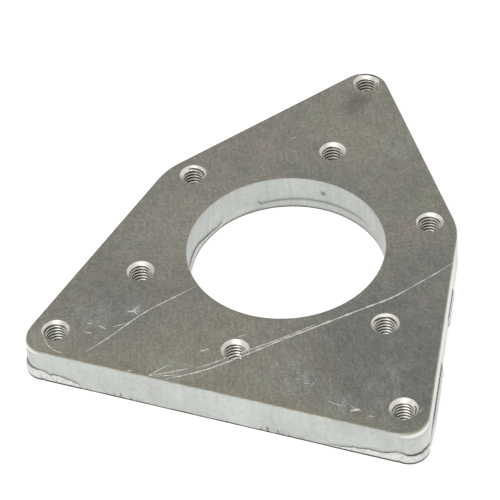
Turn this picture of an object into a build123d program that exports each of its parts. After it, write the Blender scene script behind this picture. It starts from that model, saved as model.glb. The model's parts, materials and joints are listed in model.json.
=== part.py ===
"""Motor mounting plate, fine-blanked from one piece of flat aluminium stock.

The plate is shaped like a house seen from the front. A pilot bore centres the motor, and six tapped
holes on a circle round the bore fasten it. Three more tapped holes, one at the apex and two at the
base, fasten the plate to the machine. The press left the top edge rounded over. At the tight corners
the lower part of the edge tore and stands a little proud, as a sharper-cornered foot.

Frame: the origin is on the bore's axis at the plate's underside. +Y points to the apex and +Z is up.
All sizes are in millimetres.
"""

import os
from math import cos, radians, sin, tan

from build123d import *

# Plate
plate_thickness = 10.0
top_edge_round = 0.5  # the edge that the press rolled over, round the outside
bore_edge_round = 0.2  # the same at the top rim of the bore
foot_edge_break = 0.2  # chamfer round the outside of the underside

# Pilot bore
bore_diameter = 50.0

# Tapped holes, M6 x 1, right through and countersunk on both faces
tap_drill_diameter = 5.0
countersink_diameter = 7.0
countersink_angle = 90.0

# Motor holes, on a circle round the bore with the first one towards the apex
motor_circle_diameter = 74.0
motor_hole_count = 6

# Outer holes
apex_hole_reach = 65.5  # from the bore's axis to the apex hole
base_hole_spacing = 89.0  # from one base hole to the other
base_hole_drop = 43.5  # from the bore's axis down to the base holes

# Outline: sharp corners set off from the holes beside them, then rounded
apex_margin = 8.9
shoulder_margin = 7.7
base_side_margin = 8.2
base_edge_margin = 8.2
corner_round = 6.0  # apex and base corners
shoulder_round = 18.0

# Torn foot of the tight corners
foot_height = 2.7
foot_corner_round = 5.0

# Hole centres
motor_circle_radius = motor_circle_diameter / 2
motor_hole_step = 360 / motor_hole_count
shoulder_hole_x = motor_circle_radius * sin(radians(motor_hole_step))
shoulder_hole_y = motor_circle_radius * cos(radians(motor_hole_step))
base_hole_x = base_hole_spacing / 2
outer_hole_centres = [
    (0, apex_hole_reach),
    (base_hole_x, -base_hole_drop),
    (-base_hole_x, -base_hole_drop),
]

# Countersink depth on either face
countersink_reach = (countersink_diameter - tap_drill_diameter) / 2
countersink_depth = countersink_reach / tan(radians(countersink_angle / 2))

# Sharp corners of the right-hand half of the outline
apex_corner = (0, apex_hole_reach + apex_margin)
shoulder_corner = (shoulder_hole_x + shoulder_margin, shoulder_hole_y)
base_corner = (base_hole_x + base_side_margin, -base_hole_drop - base_edge_margin)


def make_outline(tight_round):
    """The house-shaped outline, with tight_round at the apex and base corners."""
    with BuildSketch() as outline:
        with BuildLine():
            Polyline((0, base_corner[1]), base_corner, shoulder_corner, apex_corner)
            mirror(about=Plane.YZ)
        make_face()
        shoulders = outline.vertices().filter_by(lambda v: abs(v.Y - shoulder_corner[1]) < 0.001)
        fillet(shoulders, shoulder_round)
        fillet(outline.vertices().sort_by(Axis.Y)[-1], tight_round)
        base_corners = outline.vertices().filter_by(lambda v: abs(abs(v.X) - base_corner[0]) < 0.001)
        fillet(base_corners, tight_round)
    return outline.sketch


def make_mounting_plate():
    """The whole plate: foot, body, rolled edges, pilot bore and tapped holes."""
    with BuildPart() as mounting_plate:
        # Foot, with the sharper corners, and the body above it
        with BuildSketch():
            add(make_outline(foot_corner_round))
        extrude(amount=foot_height)
        with BuildSketch(Plane.XY.offset(foot_height)):
            add(make_outline(corner_round))
        extrude(amount=plate_thickness - foot_height)

        # Outer edges of both faces
        fillet(mounting_plate.faces().sort_by(Axis.Z)[-1].edges(), top_edge_round)
        chamfer(mounting_plate.faces().sort_by(Axis.Z)[0].edges(), foot_edge_break)

        # Pilot bore and the rounding of its top rim
        Hole(bore_diameter / 2)
        fillet(mounting_plate.faces().sort_by(Axis.Z)[-1].inner_wires().edges(), bore_edge_round)

        # Tapped holes, countersunk from the top
        with Locations(Plane.XY.offset(plate_thickness)):
            with PolarLocations(motor_circle_radius, motor_hole_count, start_angle=90):
                make_tapped_hole()
            with Locations(*outer_hole_centres):
                make_tapped_hole()

        # The same countersinks underneath
        underside = mounting_plate.faces().sort_by(Axis.Z)[0]
        rims = underside.edges().filter_by(GeomType.CIRCLE)
        rims = rims.filter_by(lambda rim: abs(rim.radius - tap_drill_diameter / 2) < 0.001)
        chamfer(rims, countersink_reach, countersink_depth, reference=underside)
    mounting_plate.part.label = "mounting_plate"
    return mounting_plate.part


def make_tapped_hole():
    """One tapped hole at its drill size, with the countersink of the top face."""
    CounterSinkHole(
        tap_drill_diameter / 2,
        countersink_diameter / 2,
        counter_sink_angle=countersink_angle,
    )


os.makedirs("parts", exist_ok=True)
plate = make_mounting_plate()
export_step(plate, "parts/mounting_plate.step")
print("mounting_plate volume", round(plate.volume), "size", plate.bounding_box().size)
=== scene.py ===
# %% [markdown]
# # A blanked aluminium motor plate
# The part is one flat plate. A press cut its outline and its bore from rolled aluminium, a drill and a
# tap made its nine threaded holes, and handling left scratches and stains on the rolled face. This
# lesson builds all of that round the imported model, which stays the reference for every size.

# %% Load the frame
import json
import math
from functools import partial

import bmesh
import bpy
import numpy as np
from mathutils import Matrix, Vector, noise


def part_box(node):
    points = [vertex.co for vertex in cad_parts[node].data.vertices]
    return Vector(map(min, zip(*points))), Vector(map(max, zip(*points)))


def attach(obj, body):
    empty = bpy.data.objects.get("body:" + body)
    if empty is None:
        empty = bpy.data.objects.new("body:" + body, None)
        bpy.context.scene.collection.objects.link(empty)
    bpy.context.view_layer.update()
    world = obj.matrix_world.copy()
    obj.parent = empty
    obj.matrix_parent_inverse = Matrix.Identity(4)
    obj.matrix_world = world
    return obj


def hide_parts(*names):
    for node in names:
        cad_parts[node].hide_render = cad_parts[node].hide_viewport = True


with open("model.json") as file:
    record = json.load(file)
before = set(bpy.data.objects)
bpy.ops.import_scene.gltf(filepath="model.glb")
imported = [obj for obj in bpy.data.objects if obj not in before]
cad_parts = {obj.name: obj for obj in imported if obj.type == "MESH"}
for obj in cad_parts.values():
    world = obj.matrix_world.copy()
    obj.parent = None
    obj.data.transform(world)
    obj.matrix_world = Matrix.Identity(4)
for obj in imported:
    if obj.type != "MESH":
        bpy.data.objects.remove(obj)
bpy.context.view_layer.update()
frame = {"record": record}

# %% [markdown]
# ## Sizes
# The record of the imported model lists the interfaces: the pilot bore, the circle of motor holes and the
# three outer holes. Reading them from there, and not typing them again, keeps the dressed plate in step
# with the model. Only what the record leaves out is named here, in metres like everything in Blender.

# %% Read the interfaces
MM = 0.001
mounts = {mount["name"]: mount for mount in frame["record"]["mounts"]}
plate_low, plate_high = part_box("mounting_plate")
bore_radius = mounts["pilot_bore"]["dims"]["r_mm"] * MM
bolt_dims = mounts["motor_bolts"]["dims"]
drill_radius, circle_radius = bolt_dims["hole_r_mm"] * MM, bolt_dims["pcd_mm"] * MM / 2
motor_hole_count = bolt_dims["count"]
outer_threads = [m for m in mounts.values() if m["kind"] == "threaded_hole"]
apex_hole = Vector(mounts["apex_thread"]["pos_m"][:2])
base_hole = Vector(mounts["base_right_thread"]["pos_m"][:2])
print("bore radius", bore_radius, "bolt circle radius", circle_radius)

# %% [markdown]
# ## Outline
# The outline is a house: a base, two leaning sides and a roof that meets in an apex. Each sharp corner
# is set off from the hole beside it and then rounded. The walls are built later as strips of evenly
# spaced columns, so the outline is sampled here at a fixed step, with each sample's outward normal and
# distance along the edge. A curve object could give the same points, but a small
# function shows the geometry of a rounded corner plainly.

# %% Corners of the outline
apex_margin = 8.9 * MM
shoulder_margin = 7.7 * MM
base_margin = 8.2 * MM
corner_round = 6 * MM
shoulder_round = 18 * MM
shoulder_turn = math.radians(60)

shoulder = Vector((circle_radius * math.sin(shoulder_turn) + shoulder_margin, circle_radius / 2))
base_corner = base_hole + Vector((base_margin, -base_margin))
apex = apex_hole + Vector((0, apex_margin))
left_shoulder = Vector((-shoulder.x, shoulder.y))
left_base_corner = Vector((-base_corner.x, base_corner.y))
corners = [base_corner, shoulder, apex, left_shoulder, left_base_corner]
corner_radii = [corner_round, shoulder_round, corner_round, shoulder_round, corner_round]
BASE_RIGHT, APEX, BASE_LEFT = tight_corners = (0, 2, 4)
print("sharp corners in mm:", [tuple(round(c / MM, 1) for c in corner) for corner in corners])

# %% Sample the outline
column_step = 0.4 * MM


def corner_arc(index):
    """Centre, start angle and turn of the arc that rounds a corner; the outline runs counter-clockwise."""
    before, corner, after = corners[index - 1], corners[index], corners[(index + 1) % len(corners)]
    radius = corner_radii[index]
    to_before = (before - corner).normalized()
    to_after = (after - corner).normalized()
    half = to_before.angle(to_after) / 2
    centre = corner + (to_before + to_after).normalized() * radius / math.sin(half)
    start = corner + to_before * radius / math.tan(half)
    return centre, math.atan2(*(start - centre).yx), math.pi - 2 * half


def sample_outline():
    """Points, outward normals, distances of the corner middles and length, from the middle of the base."""
    points, normals, middles, walked = [Vector((0, base_corner.y))], [Vector((0, -1))], [], 0.0

    def walk(end, normal):
        """Columns along a straight run, whose length is returned."""
        start, run = points[-1], end - points[-1]
        steps = max(1, round(run.length / column_step))
        for k in range(1, steps + 1):
            points.append(start + run * k / steps)
            normals.append(normal)
        return run.length

    for index, radius in enumerate(corner_radii):
        centre, angle, turn = corner_arc(index)
        spoke = Vector((math.cos(angle), math.sin(angle)))
        walked += walk(centre + radius * spoke, spoke)
        middles.append(walked + radius * turn / 2)
        walked += radius * turn
        steps = max(1, round(radius * turn / column_step))
        for k in range(1, steps + 1):
            turned = angle + turn * k / steps
            spoke = Vector((math.cos(turned), math.sin(turned)))
            points.append(centre + radius * spoke)
            normals.append(spoke)
    walked += walk(points[0], normals[0])
    return np.array(points[:-1]), np.array(normals[:-1]), middles, walked


outline, outline_normals, corner_places, outline_length = sample_outline()
steps_between = np.linalg.norm(np.diff(outline, axis=0), axis=1)
outline_place = np.concatenate([[0], np.cumsum(steps_between)])
print("outline:", len(outline), "columns,", round(outline_length / MM), "mm round")

# %% [markdown]
# ## One shell from several strips
# A watertight mesh is easiest to keep when its parts share their rims. Each wall is a grid of rows and
# columns, and every rim lies exactly on a face, so the shell below only has to gather the grids, merge
# the rims and fill the two flat faces between them. Four attributes travel with the points, in the order
# of MARKS, and the materials read them later: the first marks where shade is painted into cracks,
# creases, the foot of the walls and the thread roots, the second marks rough broken metal that is also
# painted paler where light falls on it, the third marks rolled skin that was bent over the edge, and the
# fourth marks polished thread metal and the highlights painted on the outer edge.

# %% Gather grids into a shell
FACE, EDGE, THREAD = 0, 1, 2
MARKS = ("crevice", "torn", "skin", "burnish")
shell = {"points": [], "quads": [], "finish": [], **{mark: [] for mark in MARKS}}


def add_grid(rows):
    """Adds rows of points and marks, closed round their columns; the first strip lies on the face."""
    columns = len(rows[0][0])
    first = len(shell["points"])
    for points, marks in rows:
        shell["points"] += points.tolist()
        for mark in MARKS:
            shell[mark] += np.broadcast_to(marks.get(mark, 0.0), columns).tolist()
    for row in range(len(rows) - 1):
        low, high = first + row * columns, first + (row + 1) * columns
        for column in range(columns):
            after = (column + 1) % columns
            shell["quads"].append((low + column, low + after, high + after, high + column))
            shell["finish"].append(EDGE if row else FACE)


def wobbles(places, heights, grain, seed):
    """Smooth noise between -1 and 1 for places along an edge and heights on it."""
    heights = np.broadcast_to(heights, places.shape)
    return np.array([noise.noise(Vector((p / grain, h / grain, seed))) for p, h in zip(places, heights)])


# %% [markdown]
# ## Blanked outer edge
# A fine-blanking press leaves three zones on a thick edge. The top rolls over, most at tight corners.
# The middle is sheared smooth. At tight corners the lowest part tears: the tear starts as a ragged dark
# line, and the metal below it stands proud and pale. Along the straight base only a low burr is left.
# The rows of the strip follow that ragged line, so the tear is real geometry with no wasted faces.

# %% Where the edge tore
# corner: (distance from the middle of the corner, height of the tear above the underside) in millimetres
tear_lines = {
    BASE_RIGHT: [(-24, 0.4), (-22, 0.9), (-19.5, 1.0), (-17.5, 1.6), (-12.5, 2.4), (-9, 2.4), (-7.5, 2.9),
                 (-5.2, 3.7), (-4, 3.5), (-2.5, 2.7), (0, 2.5), (9, 2.6), (30, 2.7), (31, 0.4), (44, 0.4),
                 (45, 2.7), (55, 2.5), (56, 0.4)],
    APEX: [(-11, 0.4), (-9, 2.2), (0, 3.2), (8, 2.6), (10, 0.4)],
    BASE_LEFT: [(-12, 0.4), (-10, 2.4), (0, 3.2), (5, 3.6), (6.6, 3.4), (7.2, 2.5), (8.4, 3.1),
                (10.5, 2.9), (14.6, 1.8), (15.4, 0.4)],
}
burr_height = 0.4 * MM
torn_from, torn_fade = 0.55 * MM, 0.5 * MM
corner_spread = 5 * MM
tear_ripple, burr_rise = 0.3 * MM, 0.75 * MM
base_edge = -50 * MM

tear_height = np.full(len(outline), burr_height)
nearness = np.zeros(len(outline))
for corner_index, line in tear_lines.items():
    local = outline_place - corner_places[corner_index]
    places, heights = np.array(line).T
    tear_height = np.maximum(tear_height, np.interp(local, places * MM, heights * MM))
    nearness = np.maximum(nearness, np.exp(-((local / corner_spread) ** 4)))
is_torn = np.clip((tear_height - torn_from) / torn_fade, 0, 1)
ragged = wobbles(outline_place, 0, 1.3 * MM, 3) + 0.7 * wobbles(outline_place, 0, 0.6 * MM, 5)
burr_stretches = np.clip(3 * wobbles(outline_place, 0, 11 * MM, 9) + 0.35, 0, 1)
on_base = np.clip((base_edge - outline[:, 1]) / MM, 0, 1)
burrs = np.clip(4 * wobbles(outline_place, 0, 0.9 * MM, 8) - 0.2, 0, 1)
burrs = burrs * burr_stretches * (1 - is_torn) * on_base
tear_height += tear_ripple * ragged * is_torn + burr_rise * burrs
print("torn columns:", int((is_torn > 0.5).sum()), "of", len(outline))

# %% [markdown]
# ### Foot of the tight corners
# Below the tear the corner's foot has a sharper round than the wall above it. For every column this finds
# how far out that round lies, by cutting the column's own direction with the smaller circle. Noise would
# be quicker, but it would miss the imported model, which has the same foot.

# %% Foot of the tight corners
foot_round = 5 * MM
arc_slack = 0.01 * MM


def foot_shift():
    """How far the sharper foot stands out from the rounded outline, for every column."""
    shift = np.zeros(len(outline))
    for index in tight_corners:
        centre, _, turn = corner_arc(index)
        out = np.array((corners[index] - centre).normalized())
        half_open = (math.pi - turn) / 2
        apart = (corner_round - foot_round) / math.sin(half_open)
        off = np.arccos(np.clip(outline_normals @ out, -1, 1))
        on_arc = off <= turn / 2 + 1e-6
        on_arc &= np.abs(outline_place - corner_places[index]) < corner_round * turn / 2 + arc_slack
        to_foot = apart * np.cos(off) + np.sqrt(np.maximum(foot_round**2 - (apart * np.sin(off)) ** 2, 0))
        to_side = corner_round / np.cos(np.maximum(turn / 2 - off, 0))
        shift = np.where(on_arc, np.minimum(to_foot, to_side) - corner_round, shift)
    return shift


foot_out = foot_shift()
print("foot stands out by", round(foot_out.max() / MM, 2), "mm at most")

# %% [markdown]
# ### Rows of the outer edge
# The strip starts as a narrow flat ring on the top face, bends over the rolled edge, runs down the wall,
# dips into the crack and comes back out over the torn lip. One side tore further than the rest, so its
# lip stands prouder, and the wall above it is painted brighter as a painted highlight. The middle of the
# rolled edge near the tight corners also carries a painted highlight, and painted shade darkens the end
# of that roll, the crack and the foot. Each function yields its rows in order.

# %% Sizes of the outer edge
roll_reach, corner_roll_reach = 0.45 * MM, 0.9 * MM
roll_depth, corner_roll_depth = 0.45 * MM, 1.7 * MM
roll_rows, wall_rows = 8, 7
flat_ring = 0.4 * MM
lip_proud, side_lip = 0.08 * MM, 0.5 * MM
edge_inset, face_inset = 0.13 * MM, 0.04 * MM
crack_depth, crack_half = 0.18 * MM, 0.12 * MM
foot_break, foot_chamfer, foot_tuck = 0.54 * MM, 0.12 * MM, 0.04 * MM
wall_wave, lip_grit = 0.015 * MM, 0.05 * MM
highlight_middle, highlight_width = 0.62, 0.2
top_level = plate_high[2] - face_inset
bottom_level = plate_low[2]

reach = roll_reach + (corner_roll_reach - roll_reach) * nearness
depth = roll_depth + (corner_roll_depth - roll_depth) * nearness
along_side = outline_place - corner_places[BASE_RIGHT]
side_stops, side_shares = np.array([5, 13, 29, 31, 44.5, 45.5, 55, 56]) * MM, [0, 1, 0.8, 0, 0, 0.6, 0.6, 0]
proud = (lip_proud + side_lip * np.interp(along_side, side_stops, side_shares) + foot_out) * is_torn
# painted highlight: the wall along the right side is painted brighter, standing in for the light it reflects
side_highlight = np.interp(along_side, np.array([0, 8, 55, 70]) * MM, [0, 0.5, 0.7, 0])
wavy = wall_wave * wobbles(outline_place, 0, 6 * MM, 11)
print("the lip stands", round(proud.max() / MM, 2), "mm proud at most")

# %% Build the outer edge


def edge_row(shift, height, **marks):
    """One row of the outer edge, shifted outwards from the outline."""
    flat = outline + outline_normals * (shift - edge_inset)[:, None]
    return np.column_stack([flat, np.broadcast_to(height, len(outline))]), marks


def edge_rows():
    """Rows from the top face to the underside."""
    yield edge_row(-reach - flat_ring, top_level, skin=1)
    for k in range(roll_rows + 1):
        turned = math.pi / 2 * k / roll_rows
        # painted highlight along the middle of the roll near tight corners, and a line of painted shade
        # under the roll's end
        roll_highlight = nearness * math.exp(-(((k / roll_rows - highlight_middle) / highlight_width) ** 2))
        yield edge_row(-reach * (1 - math.sin(turned)), top_level - depth * (1 - math.cos(turned)),
                       skin=1 - k / roll_rows, burnish=roll_highlight,
                       crevice=0.22 * nearness * (k == roll_rows))
    tear, crack = bottom_level + tear_height, is_torn * crack_half
    roll_end, crack_top = top_level - depth, tear + crack
    # painted shade: the last wall row, the crack row and the lip's top row are darkened along the tear and
    # at the base's burrs
    for k in range(1, wall_rows + 1):
        share = k / wall_rows
        yield edge_row(wavy * share, roll_end + (crack_top - roll_end) * share, burnish=side_highlight,
                       crevice=(0.3 * is_torn + 0.2 * burrs) * (k == wall_rows))
    yield edge_row(wavy - crack_depth * is_torn, tear, crevice=np.maximum(is_torn, 0.8 * burrs))
    lip_top, lip_foot = tear - crack, bottom_level + foot_break
    # painted light: lip rows are painted pale at least 0.4 even where nothing tore, a painted reflection of
    # the floor above the foot; on torn lips the paleness is partly torn metal and partly a painted highlight
    # where the lip faces up
    for out_share, height_share in ((0.5, 1.0), (0.9, 0.8), (1.0, 0.5), (1.0, 0.2)):
        grit = lip_grit * is_torn * wobbles(outline_place, height_share, 0.5 * MM, 17)
        height = np.maximum(lip_foot + (lip_top - lip_foot) * height_share, lip_foot)
        yield edge_row(proud * out_share + grit, height, torn=np.maximum(is_torn, 0.4),
                       crevice=0.25 * is_torn * (height_share == 1.0) + 0.45 * burrs)
    # painted shade: the foot rows are darkened into a dark line along the floor, standing in for the contact
    # shadow
    yield edge_row(proud, lip_foot, crevice=0.35, torn=is_torn)
    yield edge_row(proud, lip_foot - foot_chamfer, crevice=0.8)
    yield edge_row(proud - foot_tuck, bottom_level, crevice=1)


add_grid(list(edge_rows()))
print("outer edge:", len(shell["quads"]), "faces")

# %% [markdown]
# ## Pilot bore
# The bore was pierced in the same stroke, so its wall has the same zones. The tear shows as a clean
# crack line on the apex side and breaks up into a pale proud lip on the left. Angles run from the apex
# direction, positive to the right, as on the drawing of the bolt circle.

# %% Where the bore tore
bore_columns = 480
bore_foot = 0.4 * MM
# (angle in degrees, value in millimetres or as a share)
bore_tear = [(-180, 0.4), (-112, 0.4), (-108, 2.4), (-86, 2.3), (-82, 1.7), (-72, 1.2), (-66, 1.1),
             (-63, 1.5), (-58, 2.4), (-50, 3.1), (-38, 3.4), (-37, 3.3), (-35, 2.4), (-12, 2.85), (10, 3.0),
             (33, 3.0), (46, 2.9), (48, 0.5), (180, 0.4)]
bore_lip = [(-180, 0), (-112, 0), (-100, 0.3), (-70, 0.25), (-60, 0), (180, 0)]
bore_crack = [(-180, 0), (-110, 0), (-105, 1), (-62, 0.9), (-61, 0), (-38, 0), (-37, 1), (24, 1), (36, 0.5),
              (42, 0), (180, 0)]
# painted shade along the bore's foot: full from -90 to 30 degrees, down to 0.4 elsewhere
bore_shade = [(-180, 0.4), (-120, 0.6), (-90, 1), (30, 1), (60, 0.6), (180, 0.4)]
bore_ledge = [(-64, 0), (-58, 0.45), (-42, 0.45), (-37, 0)]

bore_angle = np.linspace(-180, 180, bore_columns, endpoint=False)
bore_place = np.radians(bore_angle) * bore_radius


def round_bore(table):
    """A table of angles and values read at every column."""
    return np.interp(bore_angle, *np.array(table).T)


on_left = (bore_angle < -60).astype(float)
bore_tear_height = round_bore(bore_tear) * MM
bore_tear_height += 0.35 * MM * on_left * wobbles(bore_place, 0, 1.1 * MM, 23)
bore_tear_height += 0.06 * MM * wobbles(bore_place, 0, 2 * MM, 25)
bore_tear_height = np.maximum(bore_tear_height, bore_foot)
bore_proud, bore_split, bore_foot_shade = round_bore(bore_lip) * MM, round_bore(bore_crack), round_bore(bore_shade)
print("bore tear up to", round(bore_tear_height.max() / MM, 1), "mm high")

# %% Build the bore wall
bore_roll, bore_ring = 0.15 * MM, 0.3 * MM
bore_roll_rows, bore_wall_rows = 3, 6
crack_width, bore_crack_depth = 0.08 * MM, 0.16 * MM
bore_chamfer, bore_tuck = 0.1 * MM, 0.05 * MM


def bore_row(radius, height, **marks):
    """One row of the bore wall."""
    turned = np.radians(bore_angle)
    flat = np.column_stack([np.sin(turned), np.cos(turned)]) * np.broadcast_to(radius, bore_columns)[:, None]
    return np.column_stack([flat, np.broadcast_to(height, bore_columns)]), marks


def bore_rows():
    """Rows from the top face to the underside."""
    yield bore_row(bore_radius + bore_roll + bore_ring, top_level, skin=1)
    for k in range(bore_roll_rows + 1):
        turned = math.pi / 2 * k / bore_roll_rows
        yield bore_row(bore_radius + bore_roll * (1 - math.sin(turned)),
                       top_level - bore_roll * (1 - math.cos(turned)),
                       skin=(1 - k / bore_roll_rows) * 0.6)
    tear, half = bottom_level + bore_tear_height, crack_width * bore_split
    wall_top, crack_top = top_level - bore_roll, tear + half
    for k in range(1, bore_wall_rows + 1):
        yield bore_row(bore_radius, wall_top + (crack_top - wall_top) * k / bore_wall_rows,
                       crevice=0.3 * bore_split * (k == bore_wall_rows))
    # painted shade darkens the bore's crack and the rows beside it
    yield bore_row(bore_radius + bore_crack_depth * bore_split, tear, crevice=bore_split)
    lip = (bore_proud > 0.01 * MM).astype(float)
    ledge, foot = round_bore(bore_ledge), bottom_level + bore_foot
    # the lip and ledge rows are painted pale, partly as torn metal and partly as a painted highlight where
    # they face up
    for share, out_share in ((1.0, 0.5), (0.6, 1), (0.3, 1)):
        height = np.maximum(foot + (tear - half - foot) * share, foot)
        yield bore_row(bore_radius - bore_proud * out_share, height,
                       crevice=0.3 * bore_split * (share == 1.0),
                       torn=np.maximum(lip, ledge * (share < 1.0)))
    lip_radius = bore_radius - bore_proud
    # painted shade: the foot rows are darkened into a dark line standing in for the contact shadow, weighted
    # by bore_shade
    yield bore_row(lip_radius, foot, crevice=0.3 * bore_foot_shade)
    yield bore_row(lip_radius, foot - bore_chamfer, crevice=0.75 * bore_foot_shade)
    yield bore_row(lip_radius + bore_tuck, bottom_level, crevice=bore_foot_shade)


add_grid(list(bore_rows()))
print("with the bore:", len(shell["quads"]), "faces")

# %% [markdown]
# ## Tapped holes
# Nine equal M6 threads are the repeating feature of this part, so Geometry Nodes make them. One grid is
# wrapped round the hole and sheared by one pitch per turn, so its rows follow the helix and its seam
# closes on itself. The radius is the larger of the 60 degree thread form and the countersink's cone,
# which is how a real countersink cuts the thread away. Instances then put it at every hole.

# %% Helpers for node trees


def place_object(name, data):
    """A new object at the origin."""
    thing = bpy.data.objects.new(name, data)
    bpy.context.collection.objects.link(thing)
    return thing


def add_node(tree, kind, **settings):
    """A node with its properties and unlinked inputs set; inputs are given by their index as i0, i1, ..."""
    node = tree.nodes.new(kind)
    for name, value in settings.items():
        if name[0] == "i" and name[1:].isdigit():
            socket = node.inputs[int(name[1:])]
            if isinstance(value, bpy.types.NodeSocket):
                tree.links.new(value, socket)
            else:
                socket.default_value = value
        else:
            setattr(node, name, value)
    return node


def maths(tree, operation, *values):
    """The output of one Math node."""
    settings = {f"i{k}": value for k, value in enumerate(values)}
    return add_node(tree, "ShaderNodeMath", operation=operation, **settings).outputs[0]


def remap(tree, value, *limits):
    """The output of a clamped Map Range node; the limits are from low, from high, to low, to high."""
    settings = {f"i{k}": limit for k, limit in enumerate(limits, 1)}
    return add_node(tree, "ShaderNodeMapRange", i0=value, **settings).outputs[0]


def new_geometry_tree(name, sizes):
    """An empty Geometry Nodes tree with a geometry input and output and one number input for each size."""
    tree = bpy.data.node_groups.new(name, "GeometryNodeTree")
    tree.interface.new_socket("Geometry", in_out="INPUT", socket_type="NodeSocketGeometry")
    for label in sizes:
        tree.interface.new_socket(label, in_out="INPUT", socket_type="NodeSocketFloat")
    tree.interface.new_socket("Geometry", in_out="OUTPUT", socket_type="NodeSocketGeometry")
    return tree, tree.nodes.new("NodeGroupInput"), tree.nodes.new("NodeGroupOutput")


def finish_tree(tree, last, result, material):
    """Ends a tree with plain geometry in one material."""
    real = add_node(tree, "GeometryNodeRealizeInstances", i0=last.outputs[0])
    painted = add_node(tree, "GeometryNodeSetMaterial", i0=real.outputs[0], i2=material)
    tree.links.new(painted.outputs[0], result.inputs[0])
    return tree


def evaluate_tree(source, tree, sizes):
    """Runs the tree on an object with the sizes as inputs and returns the result as a plain mesh."""
    modifier = source.modifiers.new(tree.name, "NODES")
    modifier.node_group = tree
    for item in tree.interface.items_tree:
        if item.in_out == "INPUT" and item.name in sizes:
            modifier[item.identifier] = sizes[item.name]
    bpy.context.view_layer.update()
    evaluated = source.evaluated_get(bpy.context.evaluated_depsgraph_get())
    mesh = bpy.data.meshes.new_from_object(evaluated)
    source.modifiers.remove(modifier)
    return mesh


# %% [markdown]
# ### Freshly cut metal
# Threads and countersinks are cut last, so they are clean bright metal, polished where the tap rubbed,
# with shade painted into the roots and deeper down the hole. Every finish in this lesson is one metal
# Principled shader fed by noise. The noise reads Object coordinates, which are metres here, so a scale of
# 100 means details of about a centimetre, and it stays put when the part is moved or exported.

# %% Helpers for materials


def new_material(name):
    """A material with a metal Principled shader, and its tree."""
    material = bpy.data.materials.new(name)
    material.use_nodes = True
    material.node_tree.nodes["Principled BSDF"].inputs["Metallic"].default_value = 1.0
    return material, material.node_tree


def with_surface(material, colour, roughness, normal):
    """The material with its shader linked to a colour, a roughness and a normal."""
    shader = material.node_tree.nodes["Principled BSDF"]
    for value, socket in ((colour, "Base Color"), (roughness, "Roughness"), (normal, "Normal")):
        material.node_tree.links.new(value, shader.inputs[socket])
    return material


def object_place(tree, stretch=(1, 1, 1), turn=0.0):
    """Object coordinates, turned first and then stretched, so that a pattern gets longer along each axis."""
    source = tree.nodes.new("ShaderNodeTexCoord").outputs["Object"]
    settings = {"vector_type": "TEXTURE", "i0": source, "i2": (0, 0, turn), "i3": stretch}
    return add_node(tree, "ShaderNodeMapping", **settings).outputs[0]


def grain(tree, place, scale, detail, roughness=0.55):
    """The value of a Noise Texture."""
    return add_node(tree, "ShaderNodeTexNoise", i0=place, i2=scale, i3=detail, i4=roughness).outputs[0]


def mottle(tree, place, scale, detail, window, values=(0, 1), roughness=0.55):
    """Noise stretched from a window of its values to other values."""
    return remap(tree, grain(tree, place, scale, detail, roughness), *window, *values)


def blend_colour(tree, share, first, second, blend="MIX"):
    """The colour output of a Mix node; a colour is a socket or three numbers."""
    first, second = ((*c, 1) if isinstance(c, tuple) else c for c in (first, second))
    settings = {"data_type": "RGBA", "blend_type": blend, "i0": share, "i6": first, "i7": second}
    return add_node(tree, "ShaderNodeMix", **settings).outputs[2]


def shaded(tree, colour, factor):
    """The colour made lighter or darker by a factor."""
    return blend_colour(tree, 1.0, colour, factor, "MULTIPLY")


def attribute(tree, name):
    """A float attribute of the mesh."""
    return add_node(tree, "ShaderNodeAttribute", attribute_name=name).outputs["Fac"]


def distance_from(tree, place, point):
    """How far a place is from a point, in metres."""
    return add_node(tree, "ShaderNodeVectorMath", operation="DISTANCE", i0=place, i1=point).outputs["Value"]


def bumped(tree, height, distance, strength):
    """The normal of a Bump node; the distance is in metres."""
    return add_node(tree, "ShaderNodeBump", i0=strength, i1=distance, i3=height).outputs[0]


# %% Thread material
turned_metal, turned_pale = (0.6, 0.585, 0.53), (0.74, 0.725, 0.67)
polished_metal, root_shade_tone = (0.86, 0.85, 0.79), (0.035, 0.033, 0.022)


def cut_thread():
    """Bright turned metal with painted shade in the roots and deeper down the hole."""
    material, tree = new_material("cut_thread")
    place = object_place(tree)
    rings = grain(tree, object_place(tree, (10, 10, 1)), 5000, 2)
    colour = blend_colour(tree, mottle(tree, place, 400, 3, (0.35, 0.65)), turned_metal, turned_pale)
    polish = attribute(tree, "burnish")
    colour = blend_colour(tree, polish, colour, polished_metal)
    # painted shade in the thread roots and deep in the hole
    painted_shade = remap(tree, attribute(tree, "crevice"), 0.05, 0.8, 0, 0.97)
    colour = blend_colour(tree, painted_shade, colour, root_shade_tone)
    rough = mottle(tree, place, 300, 2, (0.35, 0.65), (0.42, 0.52))
    rough = maths(tree, "SUBTRACT", rough, maths(tree, "MULTIPLY", polish, 0.17))
    return with_surface(material, colour, rough, bumped(tree, rings, 0.01 * MM, 0.5))


thread_finish = cut_thread()
print("thread finish:", thread_finish.name)

# %% Build the thread tree
thread_columns = 48
rows_per_pitch = 8
thread_sizes = {
    "Drill radius": drill_radius,
    "Major radius": 3.0 * MM,
    "Pitch": 1.0 * MM,
    "Countersink radius": 3.5 * MM,
    "Top": top_level,
    "Bottom": bottom_level,
}
# shares of the pitch: the middle of the root, half the root's flat and where the crest's flat begins
root_middle, root_end, crest_start = 0.625, 0.0625, 0.375
# painted shade grows with depth from 1 mm below the top, reaching 0.32 another 9 mm down
cone_margin, unshaded_depth, shaded_depth = 0.05 * MM, 1.0 * MM, 9 * MM
merge_distance = 0.001 * MM


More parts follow.
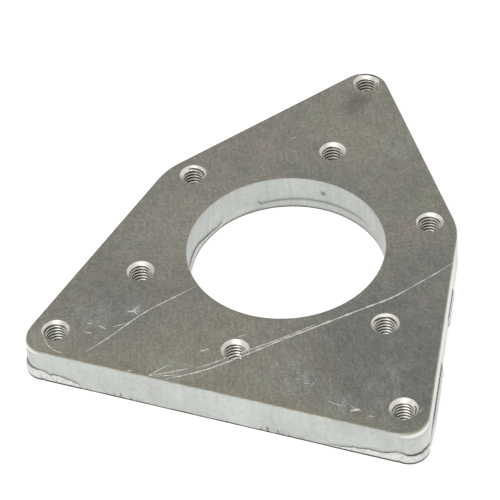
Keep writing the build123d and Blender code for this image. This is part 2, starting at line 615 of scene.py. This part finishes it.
def thread_tree(material):
    """One tapped hole wrapped from a grid, placed at every point of the input."""
    tree, given, result = new_geometry_tree("tapped holes", thread_sizes)
    node, calc = partial(add_node, tree), partial(maths, tree)
    drill, major, pitch, sink, top, bottom = (given.outputs[label] for label in thread_sizes)
    turns = calc("ADD", calc("CEIL", calc("DIVIDE", calc("SUBTRACT", top, bottom), pitch)), 1)
    rows = calc("ADD", calc("MULTIPLY", turns, rows_per_pitch), 1)
    grid = node("GeometryNodeMeshGrid", i0=1, i1=1, i2=thread_columns + 1, i3=rows)
    place = node("ShaderNodeSeparateXYZ", i0=tree.nodes.new("GeometryNodeInputPosition").outputs[0])
    across = calc("ADD", place.outputs[0], 0.5)
    turn = calc("MULTIPLY", calc("ADD", place.outputs[1], 0.5), turns)
    climbed = calc("MULTIPLY", calc("SUBTRACT", calc("ADD", turn, across), 1), pitch)
    level = calc("MINIMUM", calc("MAXIMUM", calc("ADD", climbed, bottom), bottom), top)
    phase = calc("ABSOLUTE", calc("SUBTRACT", calc("FRACT", turn), root_middle))
    phase = calc("MINIMUM", phase, calc("SUBTRACT", 1, phase))
    form = remap(tree, phase, root_end, crest_start, major, drill)
    top_cone = calc("SUBTRACT", sink, calc("SUBTRACT", top, level))
    low_cone = calc("SUBTRACT", sink, calc("SUBTRACT", level, bottom))
    cone = calc("MAXIMUM", top_cone, low_cone)
    radius = calc("MAXIMUM", form, cone)
    angle = calc("MULTIPLY", across, math.tau)
    point = node("ShaderNodeCombineXYZ", i0=calc("MULTIPLY", radius, calc("COSINE", angle)),
                 i1=calc("MULTIPLY", radius, calc("SINE", angle)), i2=level)
    # shade is painted into the roots and deeper down the hole, and the cone gets none
    painted_shade = calc("MULTIPLY", remap(tree, phase, 0.2, 0.39, 1, 0),
                calc("LESS_THAN", cone, calc("SUBTRACT", form, cone_margin)))
    deep = calc("SUBTRACT", calc("SUBTRACT", top, unshaded_depth), level)
    painted_shade = calc("MAXIMUM", painted_shade, remap(tree, deep, 0, shaded_depth, 0, 0.32))
    in_thread = calc("GREATER_THAN", calc("SUBTRACT", form, cone), 0)
    marked = grid
    for mark, value in (("crevice", painted_shade), ("burnish", in_thread)):
        marked = node("GeometryNodeStoreNamedAttribute", data_type="FLOAT", domain="POINT",
                      i0=marked.outputs[0], i2=mark, i3=value)
    wrapped = node("GeometryNodeSetPosition", i0=marked.outputs[0], i2=point.outputs[0])
    merged = node("GeometryNodeMergeByDistance", i0=wrapped.outputs[0], i2=merge_distance)
    start = node("FunctionNodeRandomValue", data_type="INT", i4=0, i5=thread_columns - 1, i8=6)
    turned = node("ShaderNodeCombineXYZ", i2=calc("MULTIPLY", start.outputs[2], math.tau / thread_columns))
    placed = node("GeometryNodeInstanceOnPoints", i0=given.outputs[0], i2=merged.outputs[0],
                  i5=turned.outputs[0])
    return finish_tree(tree, placed, result, material)


# %% Cut the nine threads


def hole_centres():
    """The nine hole centres on the plane where z is zero."""
    step = math.tau / motor_hole_count
    angles = [k * step for k in range(motor_hole_count)]
    ring = [(circle_radius * math.sin(angle), circle_radius * math.cos(angle), 0) for angle in angles]
    return ring + [(m["pos_m"][0], m["pos_m"][1], 0) for m in outer_threads]


centres = bpy.data.meshes.new("hole_centres")
centres.from_pydata(hole_centres(), [], [])
holder = place_object("hole_centres", centres)
threads = evaluate_tree(holder, thread_tree(thread_finish), thread_sizes)
bpy.data.objects.remove(holder)
print("tapped holes:", len(threads.vertices), "points,", len(threads.polygons), "faces")

# %% [markdown]
# ## Closing the shell
# The wall strips and the tapped holes all end in rims that lie on the top or the bottom plane. Joined in
# one mesh, those rims bound two flat regions with ten openings each. Bmesh fills them with triangles,
# which is fine on a flat face because nothing on it bends. A boolean could have cut the holes instead,
# but it breaks easily on fine threads, and it would lose the attributes.

# %% Join, fill and check
weld_distance, rim_slack = 0.0002 * MM, 0.01 * MM
sharp_angle = math.radians(32)


def join_shell():
    """The closed plate as a bmesh, with its marks and the finish of every face."""
    bm = bmesh.new()
    layers = {mark: bm.verts.layers.float.new(mark) for mark in MARKS}
    verts = []
    for k, point in enumerate(shell["points"]):
        vert = bm.verts.new(point)
        for mark, layer in layers.items():
            vert[layer] = shell[mark][k]
        verts.append(vert)
    for quad, finish in zip(shell["quads"], shell["finish"]):
        bm.faces.new([verts[k] for k in quad]).material_index = finish
    thread_marks = {mark: threads.attributes[mark].data for mark in ("crevice", "burnish")}
    verts = []
    for k, vertex in enumerate(threads.vertices):
        vert = bm.verts.new(vertex.co)
        for mark, values in thread_marks.items():
            vert[layers[mark]] = values[k].value
        verts.append(vert)
    for polygon in threads.polygons:
        bm.faces.new([verts[k] for k in polygon.vertices]).material_index = THREAD
    bmesh.ops.remove_doubles(bm, verts=bm.verts, dist=weld_distance)
    for level in (top_level, bottom_level):
        rim = [e for e in bm.edges if e.is_boundary and abs(e.verts[0].co.z - level) < rim_slack]
        filled = bmesh.ops.triangle_fill(bm, use_beauty=True, use_dissolve=False, edges=rim)
        for face in (g for g in filled["geom"] if isinstance(g, bmesh.types.BMFace)):
            face.material_index = FACE
    bmesh.ops.recalc_face_normals(bm, faces=bm.faces)
    return bm


plate_bm = join_shell()
print("open edges:", sum(not e.is_manifold for e in plate_bm.edges), "volume in mm3:",
      round(plate_bm.calc_volume() / MM**3))
plate_mesh = bpy.data.meshes.new("blanked_plate")
plate_bm.to_mesh(plate_mesh)
plate_bm.free()
plate_mesh.shade_smooth()
plate_mesh.set_sharp_from_angle(angle=sharp_angle)
plate = place_object("blanked_plate", plate_mesh)
print("plate:", sum(len(p.vertices) - 2 for p in plate_mesh.polygons), "triangles")

# %% [markdown]
# ## Rolled face finish
# The face keeps the skin of the rolling mill: a dull grey with brown and green stains, a fine grain and
# hair-thin rolling lines. The grey is darker than the wall's partly because of the mill skin and partly as
# painted shade, for the duller light that a face turned up mirrors. Several noises at different scales are
# mixed, because a single one always looks like a cloud. The larger stains and rubbed hazes are soft round
# spots from a short table. A painted image could do the same, but spots are quick to move.

# %% Stains and haze of the rolled face
grain_turn = math.radians(23)
# centre in millimetres, radius, softness, share, colour
stains = (
    ((38, -32), 16, 13, 0.8, (0.128, 0.13, 0.126)),
    ((27, -14), 16, 14, 0.45, (0.17, 0.168, 0.156)),
    ((44, 12), 13, 11, 0.3, (0.18, 0.178, 0.165)),
    ((-37, -28), 10, 8, 0.55, (0.17, 0.172, 0.162)),
    ((-47, -43), 6, 5, 0.4, (0.19, 0.19, 0.18)),
    ((0, 56.4), 4.6, 3, 0.5, (0.155, 0.157, 0.15)),
    ((0.3, 58.2), 2, 1.6, 0.75, (0.105, 0.105, 0.1)),
    ((-0.5, 54.6), 2.3, 1.8, 0.75, (0.108, 0.108, 0.103)),
    ((0, -42), 18, 15, 0.42, (0.275, 0.263, 0.208)),
    ((-28, 2), 14, 12, 0.35, (0.285, 0.275, 0.235)),
    ((2, 46), 15, 13, 0.35, (0.28, 0.264, 0.218)),
    ((0, 70), 6, 5, 0.4, (0.29, 0.275, 0.225)),
    ((-50, -50), 7, 5, 0.6, (0.31, 0.305, 0.25)),
    ((-20, -24), 14, 12, 0.3, (0.195, 0.192, 0.178)),
)
# centre in millimetres, radius, softness, share
hazes = (
    ((37, -31), 6.5, 6, 0.36), ((39.5, -38), 4.5, 4, 0.42), ((-36, -35), 4, 3.5, 0.45),
    ((-40, -40), 4, 3.5, 0.3), ((30, -46.3), 3, 2.4, 0.6), ((15, -41), 5, 4, 0.35),
    ((21, -42.6), 3.5, 3, 0.35), ((-28.4, -31.8), 1.7, 1.2, 1.0), ((-12, -48.5), 4.5, 3.5, 0.4),
    ((41, -46), 4, 3, 0.3), ((16, 44), 5, 4, 0.25),
)
haze_tone, base_tone = (0.43, 0.44, 0.43), (0.245, 0.24, 0.178)
base_band_top, base_band_foot = -45 * MM, -51.5 * MM


def spot(tree, centre, radius, soft, share):
    """The share inside a round spot on the face, 0 outside, with a soft rim; sizes in millimetres."""
    source = tree.nodes.new("ShaderNodeTexCoord").outputs["Object"]
    middle = (centre[0] * MM, centre[1] * MM, top_level)
    away = distance_from(tree, source, middle)
    inside = remap(tree, away, (radius - soft) * MM, (radius + soft) * MM, 1, 0)
    return maths(tree, "MULTIPLY", inside, share)


def stained(tree, colour):
    """The colour with the stains, hazes and the worn band along the base laid over it."""
    for *place, tone in stains:
        colour = blend_colour(tree, spot(tree, *place), colour, tone)
    along_plate = add_node(tree, "ShaderNodeSeparateXYZ", i0=object_place(tree)).outputs[1]
    base_band = remap(tree, along_plate, base_band_top, base_band_foot, 0, 0.55)
    colour = blend_colour(tree, base_band, colour, base_tone)
    rubbed = mottle(tree, object_place(tree, (1, 2.5, 1), grain_turn), 420, 5, (0.4, 0.72), roughness=0.8)
    for place in hazes:
        mask = maths(tree, "MULTIPLY", spot(tree, *place), rubbed)
        colour = blend_colour(tree, mask, colour, haze_tone)
    return colour


# %% Rolled face material
# these greys are darker than the wall's partly from the mill skin and partly as painted shade
warm_grey, cool_grey = (0.252, 0.234, 0.196), (0.2, 0.2, 0.183)
green_grey, pink_grey = (0.222, 0.236, 0.185), (0.262, 0.222, 0.205)


def rolled_face():
    """Dull rolled aluminium with stains."""
    material, tree = new_material("rolled_face")
    place = object_place(tree)
    along_grain = object_place(tree, (1, 7, 1), grain_turn)
    clouds = mottle(tree, place, 48, 5, (0.38, 0.62), roughness=0.6)
    colour = blend_colour(tree, clouds, warm_grey, cool_grey)
    green = mottle(tree, object_place(tree, turn=0.6), 130, 4, (0.44, 0.66), (0, 0.65))
    colour = blend_colour(tree, green, colour, green_grey)
    pink = mottle(tree, object_place(tree, turn=1.9), 95, 4, (0.5, 0.7), (0, 0.6))
    colour = stained(tree, blend_colour(tree, pink, colour, pink_grey))
    colour = shaded(tree, colour, mottle(tree, place, 1300, 4, (0.25, 0.75), (0.58, 1.44), 0.85))
    colour = shaded(tree, colour, mottle(tree, along_grain, 1500, 3, (0.25, 0.75), (0.86, 1.14), 0.7))
    colour = shaded(tree, colour, mottle(tree, place, 330, 4, (0.3, 0.7), (0.9, 1.1), 0.7))
    rough = mottle(tree, place, 140, 3, (0.35, 0.65), (0.4, 0.54))
    hairs = grain(tree, object_place(tree, (1, 30, 1), grain_turn), 2600, 2, 0.6)
    relief = maths(tree, "ADD", hairs, maths(tree, "MULTIPLY", grain(tree, place, 900, 3, 0.7), 0.8))
    return with_surface(material, colour, rough, bumped(tree, relief, 0.02 * MM, 0.6))


# %% [markdown]
# ## Cut and torn metal
# The sheared wall is brighter than the face, partly in its own colour and partly as painted light, with
# faint streaks that run through the thickness because the punch drew them. Torn metal is rough and pale,
# and its paleness is partly its own and partly painted light where the lip faces up and where the floor
# reflects in the band above the foot. Painted shade darkens the cracks, the end of the corner roll and the
# foot, and painted highlights brighten the corner rolls and the right side's wall. The marks that
# travelled with the mesh steer where each of these shows, which follows the ragged tear more closely
# than a pattern laid over the wall could.

# %% Wall material
sheared, drawn_streak = (0.47, 0.485, 0.462), (0.525, 0.54, 0.515)
bent_skin, wall_highlight_tone, pit_tone = (0.235, 0.228, 0.18), (0.74, 0.73, 0.68), (0.16, 0.16, 0.15)
torn_dark, torn_pale, crevice_shade_tone = (0.42, 0.43, 0.41), (0.7, 0.71, 0.69), (0.06, 0.058, 0.052)
pit_angle, pit_depth, pit_rim = math.radians(3), 4 * MM, (0.35 * MM, 1.0 * MM)
pit = (bore_radius * math.sin(pit_angle), bore_radius * math.cos(pit_angle), top_level - pit_depth)


def blanked_wall():
    """Sheared aluminium, skinned over at the edge; paler and rougher where torn, the paleness partly painted
    light, with painted shade in the cracks and along the foot and painted highlights on the corner rolls and
    the right side.
    """
    material, tree = new_material("blanked_wall")
    tint, calc = partial(blend_colour, tree), partial(maths, tree)
    skin, burnish, torn, crevice = (attribute(tree, mark) for mark in ("skin", "burnish", "torn", "crevice"))
    place, drawn = object_place(tree), object_place(tree, (1, 1, 8))
    colour = tint(mottle(tree, drawn, 900, 4, (0.3, 0.7), roughness=0.7), sheared, drawn_streak)
    colour = shaded(tree, colour, mottle(tree, place, 75, 4, (0.35, 0.65), (0.92, 1.06), 0.6))
    colour = shaded(tree, colour, mottle(tree, place, 1100, 4, (0.3, 0.7), (0.9, 1.1), 0.8))
    frayed = calc("ADD", skin, mottle(tree, place, 500, 3, (0.3, 0.7), (-0.12, 0.12)))
    colour = tint(remap(tree, frayed, 0.25, 0.8, 0, 0.95), colour, bent_skin)
    # painted highlight on the middle of the corner rolls and on the right side's wall
    colour = tint(burnish, colour, wall_highlight_tone)
    colour = tint(remap(tree, distance_from(tree, place, pit), *pit_rim, 0.8, 0), colour, pit_tone)
    # torn metal painted paler, partly its own colour and partly painted light where the lip faces up and
    # takes the floor's reflection
    pale_and_lit = tint(mottle(tree, place, 1500, 3, (0.3, 0.5), roughness=0.7), torn_dark, torn_pale)
    colour = tint(torn, colour, pale_and_lit)
    # painted shade in the cracks, under the corner roll and along the foot
    colour = tint(remap(tree, crevice, 0.05, 0.8, 0, 1), colour, crevice_shade_tone)
    rough = calc("SUBTRACT", remap(tree, torn, 0, 1, 0.5, 0.7), calc("MULTIPLY", burnish, 0.2))
    streaks = calc("MULTIPLY", grain(tree, drawn, 1500, 2), 0.3)
    crumbs = calc("MULTIPLY", grain(tree, place, 1400, 3, 0.7), calc("MULTIPLY_ADD", torn, 2.0, 0.2))
    return with_surface(material, colour, rough, bumped(tree, calc("ADD", streaks, crumbs), 0.06 * MM, 0.7))


for finish in (rolled_face(), blanked_wall(), thread_finish):
    plate_mesh.materials.append(finish)
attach(plate, "root")
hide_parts("mounting_plate")
print("finishes:", [m.name for m in plate_mesh.materials])

# %% [markdown]
# ## Scratches
# Handling left long bright scratches on the face, and scuffs where a tool skidded. Each is raised as a
# very thin ribbon along a path, because a burr stands up beside a real scratch and catches the light.
# The marks are given point by point. Only the finest scuffs are laid out by a seeded generator inside a
# few small areas, because nobody needs to place single hairs.

# %% Long scratches
# width, then the points of the path, in millimetres
long_scratches = [
    (0.56, [(42, 6.5), (38.5, 1), (35, -4), (31, -9.5), (25.5, -15), (20, -20.5), (15, -25.5), (10, -30.5),
            (5, -35.8), (0, -41), (-5.5, -46), (-12.8, -50.9)]),
    (0.38, [(16, -23.4), (12, -27.6), (7.9, -31.8), (4.5, -35), (0, -39.2), (-5, -43.9), (-7, -45.5)]),
    (0.36, [(-17, -51), (-15.4, -48.7), (-13.4, -46)]),
    (0.32, [(-17, -51), (-13, -48.7), (-8.5, -46)]),
    (0.24, [(-15.5, -50.8), (-12.6, -49.6), (-9.4, -49)]),
    (0.44, [(-16.3, -19), (-18.6, -22), (-21.3, -25.6), (-24.3, -29.5), (-26.8, -33.6), (-28.6, -37),
            (-31, -42), (-34.5, -48)]),
    (0.36, [(-8, -40), (-6, -38.5)]), (0.3, [(-1, -33), (0.7, -31.7)]),
    (0.36, [(-22.6, -51), (-21.4, -50.6)]),
    (0.28, [(-46.2, -46.6), (-44.9, -48.1), (-43.4, -49.3), (-41.6, -49.9), (-39.6, -50.1)]),
    (0.24, [(-12, 38.6), (-11, 39.6)]), (0.24, [(-8.4, 46.6), (-7.6, 47.6)]),
    (0.24, [(19.2, 40.3), (19.9, 40.8)]),
]
print("long scratches:", len(long_scratches))

# %% Short marks and scuffs
short_marks = [
    (0.4, [(21.2, -44.5), (21.7, -44.3)]), (0.24, [(19.5, -42.7), (20.9, -42.3)]),
    (0.26, [(21.3, -43.4), (21.6, -42), (22.1, -41.2), (21.5, -40.3)]),
    (0.26, [(17.1, -41.9), (18.1, -41.7)]), (0.24, [(26.7, -46.3), (28.8, -46.7), (31.3, -46.7)]),
    (0.3, [(29.2, -45.4), (29.6, -45.3)]), (0.3, [(30.1, -45.1), (30.5, -45.1)]),
    (0.5, [(32.8, -48), (33.7, -47.1), (34.8, -46.5)]),
    (0.42, [(33.2, -47.8), (34.2, -47.1), (35.2, -46.8)]), (0.26, [(32.2, -46), (33.6, -46.8)]),
    (0.24, [(37.2, -48.1), (39, -47.8)]), (0.36, [(31.8, -38), (32.2, -38)]),
    (0.6, [(-28.2, -31.8), (-29.1, -32.2), (-30, -32.7)]),
    (0.6, [(-28.6, -32), (-28.3, -31.1), (-28, -30)]),
    (0.55, [(-28.6, -31.7), (-27.8, -32.4), (-26.9, -33)]),
    (0.24, [(-38.4, -38.8), (-37.2, -39), (-36.1, -39)]),
    (0.26, [(-35.6, -39.1), (-34.2, -39.2), (-32.5, -39.6)]), (0.22, [(-37.9, -42), (-35.5, -41.9)]),
    (0.32, [(-19, -44.5), (-18.6, -44.5)]), (0.24, [(-31.5, -38.4), (-30, -37.4), (-28.9, -36.2)]),
]
# centre, spread, strokes, length of a stroke, main direction in degrees
scuffs = [
    ((30.3, -45.6), 1.2, 5, 0.7, 65),
    ((33.6, -47.2), 0.7, 6, 1.0, 30),
    ((48.6, -43), 0.9, 5, 1.0, 70),
    ((15, -41), 2.4, 4, 1.0, 10),
    ((-34, -41), 2.2, 5, 1.0, 160),
]
stroke_wander, stroke_bend = 18, 0.1


def scuff_strokes(centre, spread, strokes, length, direction, chance):
    """Short strokes round a centre, as paths with a width."""
    made = []
    for _ in range(strokes):
        x, y = (c + chance.normal(0, spread * 0.6) for c in centre)
        angle = math.radians(direction + chance.normal(0, stroke_wander))
        dx, dy = (length / 2 * chance.uniform(0.5, 1.2) * f(angle) for f in (math.cos, math.sin))
        bend = (x + stroke_bend * dy, y - stroke_bend * dx)
        made.append((chance.uniform(0.08, 0.17), [(x - dx, y - dy), bend, (x + dx, y + dy)]))
    return made


chance = np.random.default_rng(7)
scratches = long_scratches + short_marks
for scuff in scuffs:
    scratches += scuff_strokes(*scuff, chance)
paths = bpy.data.curves.new("scratch_paths", "CURVE")
paths.dimensions = "3D"
for width, points in scratches:
    spline = paths.splines.new("POLY")
    spline.points.add(len(points) - 1)
    for point, (x, y) in zip(spline.points, points):
        point.co = (x * MM, y * MM, top_level, 1)
        point.radius = width * MM / 2
print("scratches:", len(scratches))

# %% [markdown]
# ### Ribbon along a path
# A Geometry Nodes tree resamples every path, shakes it a little, tapers its ends, sweeps a diamond along
# it and presses that flat into a closed ribbon. A new scratch only needs a width and points.

# %% Build the scratch tree
scratch_sizes = {"Step": 0.45 * MM, "Height": 0.03 * MM, "Shake": 0.12 * MM}
thinnest = 0.02 * MM


def scratch_tree(material):
    """A thin tapered ribbon along every path."""
    tree, given, result = new_geometry_tree("scratches", scratch_sizes)
    node, calc = partial(add_node, tree), partial(maths, tree)
    step, rise, shake = (given.outputs[label] for label in scratch_sizes)
    typed = node("GeometryNodeCurveSplineType", spline_type="CATMULL_ROM", i0=given.outputs[0])
    even = node("GeometryNodeResampleCurve", mode="LENGTH", i0=typed.outputs[0], i3=step)
    place = tree.nodes.new("GeometryNodeInputPosition").outputs[0]
    shiver = node("ShaderNodeTexNoise", i0=place, i2=700.0, i3=2.0).outputs[1]
    centred = node("ShaderNodeVectorMath", operation="SUBTRACT", i0=shiver, i1=(0.5, 0.5, 0.5))
    level = node("ShaderNodeVectorMath", operation="MULTIPLY", i0=centred.outputs[0], i1=(1, 1, 0))
    moved = node("ShaderNodeVectorMath", operation="SCALE", i0=level.outputs[0], i3=shake)
    shaken = node("GeometryNodeSetPosition", i0=even.outputs[0], i3=moved.outputs[0])
    along = tree.nodes.new("GeometryNodeSplineParameter").outputs[0]
    ends = calc("MULTIPLY", calc("MULTIPLY", along, calc("SUBTRACT", 1, along)), 4)
    patches = node("ShaderNodeTexNoise", i0=place, i2=420.0, i3=3.0).outputs[0]
    radius = tree.nodes.new("GeometryNodeInputRadius").outputs[0]
    width = calc("MULTIPLY", radius, calc("POWER", ends, 0.35))
    width = calc("MULTIPLY", width, remap(tree, patches, 0.3, 0.65, 0.35, 1.2))
    upright = node("GeometryNodeSetCurveNormal", i0=shaken.outputs[0])
    upright.mode = "Z_UP"
    diamond = node("GeometryNodeCurvePrimitiveCircle", mode="RADIUS", i0=4, i4=1.0)
    swept = node("GeometryNodeCurveToMesh", i0=upright.outputs[0], i1=diamond.outputs[0],
                 i2=calc("MAXIMUM", width, thinnest))
    swept.inputs["Fill Caps"].default_value = True
    where = node("ShaderNodeSeparateXYZ", i0=place)
    flat = calc("MINIMUM", where.outputs[2], calc("ADD", rise, top_level))
    flat = calc("MAXIMUM", flat, calc("SUBTRACT", top_level, rise))
    pressed = node("ShaderNodeCombineXYZ", i0=where.outputs[0], i1=where.outputs[1], i2=flat)
    ribbon = node("GeometryNodeSetPosition", i0=swept.outputs[0], i2=pressed.outputs[0])
    return finish_tree(tree, ribbon, result, material)


# %% Raise the scratches
bare_dull, bare_bright = (0.5, 0.49, 0.46), (0.78, 0.77, 0.74)


def bright_scratch():
    """Bare metal raised by a scratch."""
    material, tree = new_material("bright_scratch")
    place = object_place(tree)
    colour = blend_colour(tree, mottle(tree, place, 900, 2, (0.35, 0.65)), bare_dull, bare_bright)
    rough = mottle(tree, place, 1500, 2, (0.3, 0.7), (0.35, 0.6))
    return with_surface(material, colour, rough, bumped(tree, grain(tree, place, 2500, 2), 0.02 * MM, 0.5))


path_object = place_object("scratch_paths", paths)
scratch_mesh = evaluate_tree(path_object, scratch_tree(bright_scratch()), scratch_sizes)
bpy.data.objects.remove(path_object)
scratch_mesh.name = "scratch_marks"
marks = place_object("scratch_marks", scratch_mesh)
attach(marks, "root")
print("scratches:", len(scratch_mesh.polygons), "faces, finish", [m.name for m in scratch_mesh.materials])

# %% [markdown]
# ## Floor and world
# The plate lies on a white floor in a white room, which is how small parts are shown for sale. The
# floor glows a little, but only for rays from the camera and from shiny surfaces, so it turns white
# without throwing more light on the plate and still keeps a shadow where the plate touches it.

# %% Floor and world
floor_reach, floor_gap, floor_glow = 6.0, 0.02 * MM, 0.45
room_light, room_white = 0.8, 1.0


def shown_rays(tree):
    """1 for rays from the camera, from gloss and through glass, 0 for the light that falls on things."""
    light_path = tree.nodes.new("ShaderNodeLightPath")
    rays = [light_path.outputs[name] for name in ("Is Camera Ray", "Is Glossy Ray", "Is Transmission Ray")]
    return maths(tree, "MAXIMUM", maths(tree, "MAXIMUM", rays[0], rays[1]), rays[2])


floor_mesh = bpy.data.meshes.new("floor")
floor_mesh.from_pydata([(x * floor_reach, y * floor_reach, plate_low[2] - floor_gap)
                        for x, y in ((-1, -1), (1, -1), (1, 1), (-1, 1))], [], [(0, 1, 2, 3)])
floor = place_object("floor", floor_mesh)
paper = bpy.data.materials.new("white_floor")
paper.use_nodes = True
paper_tree = paper.node_tree
paper_tree.nodes.remove(paper_tree.nodes["Principled BSDF"])
matt = add_node(paper_tree, "ShaderNodeBsdfDiffuse", i0=(0.86, 0.86, 0.86, 1))
glow_strength = maths(paper_tree, "MULTIPLY", shown_rays(paper_tree), floor_glow)
glow = add_node(paper_tree, "ShaderNodeEmission", i0=(1, 1, 1, 1), i1=glow_strength)
both = add_node(paper_tree, "ShaderNodeAddShader", i0=matt.outputs[0], i1=glow.outputs[0])
paper_tree.links.new(both.outputs[0], paper_tree.nodes["Material Output"].inputs["Surface"])
floor_mesh.materials.append(paper)

world = bpy.data.worlds.new("white_room")
world.use_nodes = True
sky = world.node_tree.nodes["Background"]
sky.inputs["Color"].default_value = (1, 1, 1, 1)
sky_strength = remap(world.node_tree, shown_rays(world.node_tree), 0, 1, room_light, room_white)
world.node_tree.links.new(sky_strength, sky.inputs["Strength"])
bpy.context.scene.world = world
print("floor", 2 * floor_reach, "m wide")

# %% [markdown]
# ## Lamp and camera
# One soft lamp above the front gives the metal its sheen. A long lens stands well back, as it does for
# a part this flat. Both are placed by an azimuth and an elevation round the point they look at, which is
# easier to read than a matrix.

# %% Lamp and camera
aim = Vector((-8.22 * MM, -3.79 * MM, plate_high[2]))
camera_azimuth, camera_elevation, camera_distance = 23.39, 44.31, 606.55 * MM
camera_roll = math.radians(-4.97)
lens_length, sensor_width = 174.0, 36
lamp_azimuth, lamp_elevation, lamp_distance = 4, 56, 0.9
lamp_size, lamp_energy = (0.5, 0.35), 2.2


def looking(eye, target, roll=0.0):
    """A matrix at eye that looks at target, turned by roll about the line of sight."""
    towards = (Vector(target) - Vector(eye)).normalized()
    turned = towards.to_track_quat("-Z", "Y").to_matrix().to_4x4()
    return Matrix.Translation(eye) @ turned @ Matrix.Rotation(roll, 4, "Z")


def around(target, azimuth, elevation, distance):
    """A point round a target; azimuth 0 is in front and grows to the right."""
    turn, rise = math.radians(azimuth), math.radians(elevation)
    away = Vector((math.sin(turn) * math.cos(rise), -math.cos(turn) * math.cos(rise), math.sin(rise)))
    return Vector(target) + away * distance


lamp_data = bpy.data.lights.new("soft_lamp", "AREA")
lamp_data.shape = "RECTANGLE"
lamp_data.size, lamp_data.size_y = lamp_size
lamp_data.energy = lamp_energy
lamp = place_object("soft_lamp", lamp_data)
lamp.matrix_world = looking(around(aim, lamp_azimuth, lamp_elevation, lamp_distance), aim)

camera_data = bpy.data.cameras.new("camera")
camera_data.sensor_width = sensor_width
camera_data.lens = lens_length
camera = place_object("camera", camera_data)
camera_eye = around(aim, camera_azimuth, camera_elevation, camera_distance)
camera.matrix_world = looking(camera_eye, aim, camera_roll)
bpy.context.scene.camera = camera
bpy.context.scene.view_settings.view_transform = "Standard"
print("camera at", [round(c, 4) for c in camera.location])
